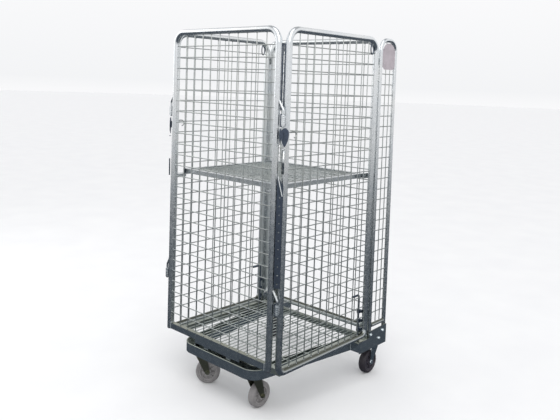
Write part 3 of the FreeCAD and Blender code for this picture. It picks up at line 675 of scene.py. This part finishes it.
# ---- gates -------------------------------------------------------------------
def corner_place(side, sign, across, out, z):
    """A place by the gate's hinge: across runs from the front tube to the gate's tube.

    The line across lies at 45 degrees, and out is the distance from it away from the cage.
    """
    x, y, _ = JOINTS["gate_" + side + "_swing"]["pos_m"]
    flat = math.sqrt(0.5)
    return Vector((x + sign * flat * (across + out), y + flat * (across - out), z))


def hinge_details(side, sign):
    """Ribs round the gate's hinge sleeves, and two upright weld beads on each."""
    x, y, _ = JOINTS["gate_" + side + "_swing"]["pos_m"]
    rib_count = 5
    seam_x = 0.0065
    seam_end = 0.006
    ribs = bmesh.new()
    beads = bmesh.new()
    for low, high in islands("gate_hinge_sleeves_" + side):
        height = high.z - low.z
        for i in range(rib_count):
            z = low.z + height * (i + 0.5) / rib_count
            ring(ribs, Vector((x, y, z)), (0, 0, 1), SLEEVE_R, 0.0011, 28)
        for edge in (-seam_x, 0.4 * seam_x):
            seam = Vector((x + sign * edge, high.y - 0.004, low.z + seam_end))
            bead(beads, [seam, seam + Vector((0, 0, height - 2 * seam_end))], 0.0016)
    piece("gate_hinge_ribs_" + side, ribs, TUBE, "gate_" + side)
    piece("gate_hinge_beads_" + side, beads, WELD, "gate_" + side)


def hinge_shade_plates(side, sign):
    """Dark plates behind the gate's hinge sleeves, painted shade where shadow falls behind them."""
    width, thick, height = 0.018, 0.0018, 0.054
    shape = bmesh.new()
    for low, high in islands("gate_hinge_sleeves_" + side):
        bevelled = soften(shape, bmesh.ops.create_cube(shape, size=1.0), 0.03, 2)
        middle = (low.z + high.z) / 2 - 0.003
        for vert in bevelled["verts"]:
            across = width * vert.co.x - 0.003
            out = thick * vert.co.y - 0.0125
            vert.co = corner_place(side, sign, across, out, middle + height * vert.co.z)
    bmesh.ops.recalc_face_normals(shape, faces=shape.faces)
    piece("gate_hinge_shade_plates_" + side, shape, DARK, "gate_" + side, smooth=False)


def leaf_rivet(side, sign):
    """Bright rivet under the leaf-shaped lift stop."""
    leaf_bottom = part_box("gate_hinge_leaf_" + side)[0][2]
    shape = bmesh.new()
    blob(shape, corner_place(side, sign, 0.002, 0.003, leaf_bottom - 0.010), (0.0042,) * 3)
    piece("gate_leaf_rivet_" + side, shape, BOLT, "gate_" + side)


def leaf_lobe(side, sign):
    """Narrow second lobe beside the leaf-shaped lift stop."""
    low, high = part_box("gate_hinge_leaf_" + side)
    middle = (low[2] + high[2]) / 2 + 0.004
    half_width, half_thick, half_height = 0.0058, 0.0016, 0.034
    shape = bmesh.new()
    bmesh.ops.create_icosphere(shape, subdivisions=3, radius=1.0)
    for vert in shape.verts:
        taper = 0.75 + 0.25 * vert.co.z
        across = half_width * taper * vert.co.x - 0.0100
        out = half_thick * vert.co.y + 0.0025
        vert.co = corner_place(side, sign, across, out, middle + half_height * vert.co.z)
    bmesh.ops.recalc_face_normals(shape, faces=shape.faces)
    piece("gate_leaf_lobe_" + side, shape, DARK, "gate_" + side)


def guard_and_shade_strip(side, sign):
    """Perforated strip on the gate that closes the gap beside the front panel, its darkness partly
    painted shade of that gap.
    """
    half = 0.0125
    bottom = 0.60
    top = 1.055
    cut_height = 0.03
    cut_width = 0.016
    hole_r = 0.003
    hole_pitch = 0.036
    data = bpy.data.curves.new("guard_and_shade_strip", "CURVE")
    data.dimensions = "2D"
    data.fill_mode = "BOTH"
    data.extrude = 0.0008

    def loop(points):
        spline = data.splines.new("POLY")
        spline.points.add(len(points) - 1)
        for point, (u, v) in zip(spline.points, points):
            point.co = (u, v, 0, 1)
        spline.use_cyclic_u = True

    loop(
        [
            (-half, bottom),
            (half, bottom),
            (half, top - cut_height),
            (half - cut_width, top),
            (-half, top),
        ]
    )
    angles = [math.tau * k / 16 for k in range(16)]
    for i in range(int((top - bottom - cut_height) / hole_pitch)):
        z = bottom + (i + 0.5) * hole_pitch
        loop([(hole_r * math.cos(a), z + hole_r * math.sin(a)) for a in angles])
    flat = bpy.data.objects.new("guard_flat", data)
    bpy.context.scene.collection.objects.link(flat)
    bpy.context.view_layer.update()
    mesh = bpy.data.meshes.new_from_object(flat.evaluated_get(bpy.context.evaluated_depsgraph_get()))
    bpy.data.objects.remove(flat)
    shape = bmesh.new()
    shape.from_mesh(mesh)
    bpy.data.meshes.remove(mesh)
    bmesh.ops.remove_doubles(shape, verts=shape.verts, dist=1e-6)
    for vert in shape.verts:
        across, z, out = vert.co
        vert.co = corner_place(side, sign, across - 0.003, out - 0.0085, z)
    bmesh.ops.recalc_face_normals(shape, faces=shape.faces)
    # Partly painted shade: the strip is dark steel where the gap beside the tubes lies in shade.
    piece("guard_and_shade_strip_" + side, shape, DARK, "gate_" + side, smooth=False)


def latch_tongue(side, sign):
    """Folded clip with two rivets on the gate's front tube, under the leaf."""
    leaf_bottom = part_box("gate_hinge_leaf_" + side)[0][2]
    front_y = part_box("gate_frame_" + side)[0][1]
    outer = outer_x("gate_frame_" + side)
    face_y = front_y - 0.0035
    x0, x1 = sorted((sign * (outer - 0.020), sign * (outer - 0.008)))
    shape = bmesh.new()
    low = (x0, face_y, leaf_bottom - 0.112)
    high = (x1, front_y + 0.004, leaf_bottom - 0.014)
    box_piece(shape, low, high, 0.0015)
    for drop in (0.030, 0.098):
        blob(shape, Vector(((x0 + x1) / 2, face_y, leaf_bottom - drop)), (0.0035, 0.0018, 0.0035))
    piece("gate_clip_" + side, shape, SHEET, "gate_" + side)


def lift_hook(side, sign):
    """Wire hook on the gate beside its upper hinge."""
    leaf_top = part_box("gate_hinge_leaf_" + side)[1][2]
    front_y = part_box("gate_frame_" + side)[0][1]
    x = sign * (outer_x("gate_frame_" + side) - 0.0065)
    root = Vector((x, front_y + 0.026, leaf_top - 0.018))
    bends = (
        (0, 0),
        (0.018, 0.004),
        (0.034, 0.002),
        (0.043, -0.008),
        (0.041, -0.022),
        (0.030, -0.024),
    )
    points = [root + Vector((0, along, up)) for along, up in bends]
    wire_curve("gate_hook_" + side, points, 0.0026, WIRE, "gate_" + side)


def corner_rods(side, sign):
    """Bright rod on the gate as a painted highlight, and a pair of dark rods beside the upper tubes as
    painted shade in the gap.
    """
    # Painted highlight: a bright rod where the gate's tube shows a bright streak.
    ends = ((-0.0140, -0.0005, 1.068), (-0.0060, 0.0005, 1.028), (0.0050, 0.0015, 0.985))
    points = [corner_place(side, sign, *end) for end in ends]
    wire_curve("gate_highlight_rod_" + side, points, 0.0032, BOLT, "gate_" + side)
    # Painted shade: two dark rods fill the gap between the tubes, which lies in shade.
    rods = (
        ("panel_shade_rod_", -0.0088, -0.0230, "chassis"),
        ("gate_shade_rod_", 0.0005, -0.0262, "gate_" + side),
    )
    for name, across, out, body in rods:
        points = [corner_place(side, sign, across, out, z) for z in (1.335, 1.47, 1.605)]
        wire_curve(name + side, points, 0.0030, DARK, body)


def corner_eye(side, sign):
    """Oval wire eye in the gate's upper rear corner."""
    _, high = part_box("gate_frame_" + side)
    half_width = 0.011
    half_height = 0.026
    steps = 24
    x = sign * (outer_x("gate_frame_" + side) - TUBE_R)
    centre = Vector((x, high[1] - 0.045, high[2] - 0.058))
    points = []
    for i in range(steps + 1):
        angle = math.tau * i / steps
        along = half_width * math.cos(angle)
        points.append(centre + Vector((0, along, half_height * math.sin(angle))))
    wire_curve("gate_eye_" + side, points, 0.0028, DARK, "gate_" + side)


# ---- the whole cage ----------------------------------------------------------
paint_nodes()
for mesh_node in [name for name in NODES if "mesh" in name]:
    mesh_welds(mesh_node)
for side, sign in SIDES:
    hinge_details(side, sign)
    lift_hook(side, sign)
    corner_eye(side, sign)
    latch_tongue(side, sign)
    guard_and_shade_strip(side, sign)
    leaf_lobe(side, sign)
    hinge_shade_plates(side, sign)
    leaf_rivet(side, sign)
    corner_rods(side, sign)
    pan_bolts(side, sign)
    for end in ("front", "rear"):
        wheel_details(end, side)
        race_rings(end, side)
pin_beads()
rail_beads()
chassis_beads()
nose_rims()
plugs()
label_rivets()


# ---- floor, light and camera -------------------------------------------------
def floor():
    """Pale matt floor, so wide that its edge falls on the horizon."""
    mesh = bpy.data.meshes.new("floor")
    shape = bmesh.new()
    bmesh.ops.create_circle(shape, cap_ends=True, segments=96, radius=60.0)
    shape.to_mesh(mesh)
    shape.free()
    obj = bpy.data.objects.new("floor", mesh)
    bpy.context.scene.collection.objects.link(obj)
    m = Nodes("floor")
    cloud = m.texture("TexNoise", 3.0, Detail=3.0)
    m.link(
        m.ramp(cloud.outputs["Fac"], [(0.3, (0.90, 0.90, 0.905)), (0.7, (0.93, 0.93, 0.93))]),
        m.shader.inputs["Base Color"],
    )
    m.shader.inputs["Roughness"].default_value = 0.9
    mesh.materials.append(m.material)
    obj.visible_glossy = False


def studio():
    """Backdrop by height: dark slate low down, white above it, and grey overhead.

    Steel reflects the slate, because the floor doesn't show in reflections. At the horizon
    the backdrop has the far floor's tone, which hides the line between them.
    """
    slate = (0.075, 0.09, 0.11)
    pale_slate = (0.13, 0.15, 0.17)
    white = (0.97, 0.97, 0.98)
    far_floor = (0.90, 0.907, 0.922)
    overhead = (0.42, 0.43, 0.45)
    stops = [
        (0.30, slate),
        (0.42, pale_slate),
        (0.445, white),
        (0.485, white),
        (0.50, far_floor),
        (0.585, white),
        (0.80, white),
        (0.90, overhead),
    ]
    world = bpy.data.worlds.new("studio")
    bpy.context.scene.world = world
    world.use_nodes = True
    tree = world.node_tree
    background = tree.nodes["Background"]
    coords = tree.nodes.new("ShaderNodeTexCoord")
    split = tree.nodes.new("ShaderNodeSeparateXYZ")
    height = tree.nodes.new("ShaderNodeMapRange")
    ramp = tree.nodes.new("ShaderNodeValToRGB")
    height.inputs["From Min"].default_value = -1.0
    set_stops(ramp.color_ramp, stops)
    tree.links.new(coords.outputs["Generated"], split.inputs["Vector"])
    tree.links.new(split.outputs["Z"], height.inputs["Value"])
    tree.links.new(height.outputs["Result"], ramp.inputs["Fac"])
    tree.links.new(ramp.outputs["Color"], background.inputs["Color"])
    background.inputs["Strength"].default_value = 1.0


def area_light(name, place, size, power):
    """Square soft light aimed at the middle of the cage."""
    middle = Vector((0, 0, 0.9))
    light = bpy.data.lights.new(name, "AREA")
    light.shape = "SQUARE"
    light.size = size
    light.energy = power
    obj = bpy.data.objects.new(name, light)
    bpy.context.scene.collection.objects.link(obj)
    obj.location = place
    aim = middle - Vector(place)
    obj.rotation_euler = aim.to_track_quat("-Z", "Y").to_euler()


def soft_sun():
    """Broad soft light from above that keeps the floor as pale as the backdrop."""
    light = bpy.data.lights.new("soft_sun", "SUN")
    light.angle = math.radians(50)
    light.energy = 0.95
    obj = bpy.data.objects.new("soft_sun", light)
    bpy.context.scene.collection.objects.link(obj)
    obj.rotation_euler = (math.radians(18), 0, math.radians(40))


def camera():
    """Stands off the right front corner, a little below the cage's top, and looks slightly down."""
    turn, down, roll = math.radians(41.62), math.radians(3.49), math.radians(2.0)
    place = (2.1154, -2.2953, 1.4428)
    ahead = Vector((-math.sin(turn) * math.cos(down), math.cos(turn) * math.cos(down), -math.sin(down)))
    right = Vector((math.cos(turn), math.sin(turn), 0))
    up = right.cross(ahead)
    tilted_right = right * math.cos(roll) + up * math.sin(roll)
    tilted_up = up * math.cos(roll) - right * math.sin(roll)
    axes = Matrix((tilted_right, tilted_up, -ahead)).transposed().to_4x4()
    data = bpy.data.cameras.new("camera")
    data.lens = 41.17
    data.shift_x = -0.0259
    data.shift_y = -0.155
    obj = bpy.data.objects.new("camera", data)
    obj.matrix_world = Matrix.Translation(place) @ axes
    bpy.context.scene.collection.objects.link(obj)
    bpy.context.scene.camera = obj


floor()
studio()
soft_sun()
area_light("key", (2.6, -2.4, 3.4), 2.2, 34)
area_light("fill", (-3.0, -1.6, 2.4), 2.5, 16)
camera()
bpy.context.scene.view_settings.view_transform = "Standard"
